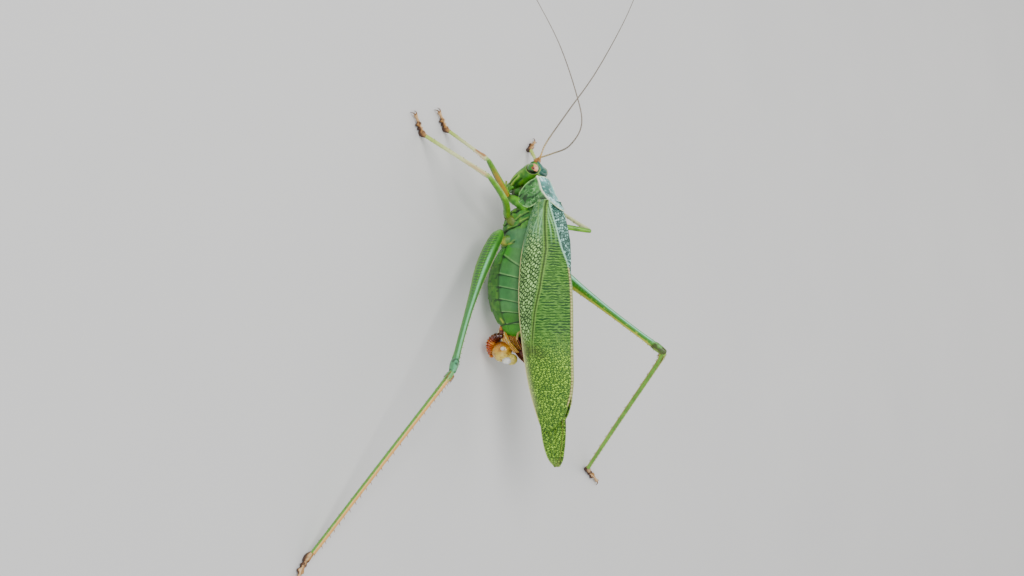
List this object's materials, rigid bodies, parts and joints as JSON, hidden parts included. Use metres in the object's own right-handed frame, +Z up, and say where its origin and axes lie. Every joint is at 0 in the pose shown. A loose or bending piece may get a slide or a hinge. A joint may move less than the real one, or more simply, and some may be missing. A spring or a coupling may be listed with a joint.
{
  "type": "long horned grasshopper",
  "caption": "Bush katydid, a slender green long horned grasshopper with leaf-like folded wings, an upcurved ovipositor and very long hind legs, standing still.",
  "frame": {"origin": "floor level, under the middle of the bounding box", "axes": "+Y towards the head, +Z up, +X to the animal's right"},
  "size_m": [0.0616, 0.0784, 0.0227],
  "materials": {
    "green_cuticle": "satin green living cuticle",
    "face_green": "satin grass-green living cuticle",
    "abdomen_green": "matte blue-green living cuticle with pale ring edges",
    "wing_green": "matte leaf-green netted wing membrane",
    "pronotum_green": "satin mottled green plate with a cream rim",
    "pale_leg": "satin pale yellow-green cuticle",
    "shin_green": "satin yellow-green cuticle with small spines",
    "foot_brown": "matte orange-brown cuticle",
    "eye_peach": "glossy peach compound eye",
    "feeler_tan": "matte tan cuticle",
    "blade_brown": "glossy red-brown horn",
    "amber": "glossy translucent amber jelly",
    "lobe_brown": "glossy orange-brown jelly"
  },
  "bodies": {
    "root": {"abdomen": "abdomen_green", "antenna_left": "feeler_tan", "antenna_right": "feeler_tan", "cercus_left": "pale_leg", "cercus_right": "pale_leg", "coxa_front_left": "green_cuticle", "coxa_front_right": "green_cuticle", "coxa_hind_left": "green_cuticle", "coxa_hind_right": "green_cuticle", "coxa_middle_left": "green_cuticle", "coxa_middle_right": "green_cuticle", "eye_left": "eye_peach", "eye_right": "eye_peach", "femur_front_left": "green_cuticle", "femur_front_right": "green_cuticle", "femur_hind_left": "green_cuticle", "femur_hind_right": "green_cuticle", "femur_middle_left": "green_cuticle", "femur_middle_right": "green_cuticle", "head": "face_green", "hindwing_left": "wing_green", "hindwing_right": "wing_green", "mouthparts": "green_cuticle", "ovipositor": "blade_brown", "palps_left": "pale_leg", "palps_right": "pale_leg", "pronotum": "pronotum_green", "prothorax": "green_cuticle", "spermatophore_lobe": "lobe_brown", "spermatophore_neck": "lobe_brown", "spermatophore_sac": "amber", "tail": "abdomen_green", "tarsus_front_left": "foot_brown", "tarsus_front_right": "foot_brown", "tarsus_hind_left": "foot_brown", "tarsus_hind_right": "foot_brown", "tarsus_middle_left": "foot_brown", "tarsus_middle_right": "foot_brown", "tegmen_left": "wing_green", "tegmen_right": "wing_green", "thorax": "green_cuticle", "tibia_front_left": "pale_leg", "tibia_front_right": "pale_leg", "tibia_hind_left": "shin_green", "tibia_hind_right": "shin_green", "tibia_middle_left": "pale_leg", "tibia_middle_right": "pale_leg"}
  },
  "joints": []
}
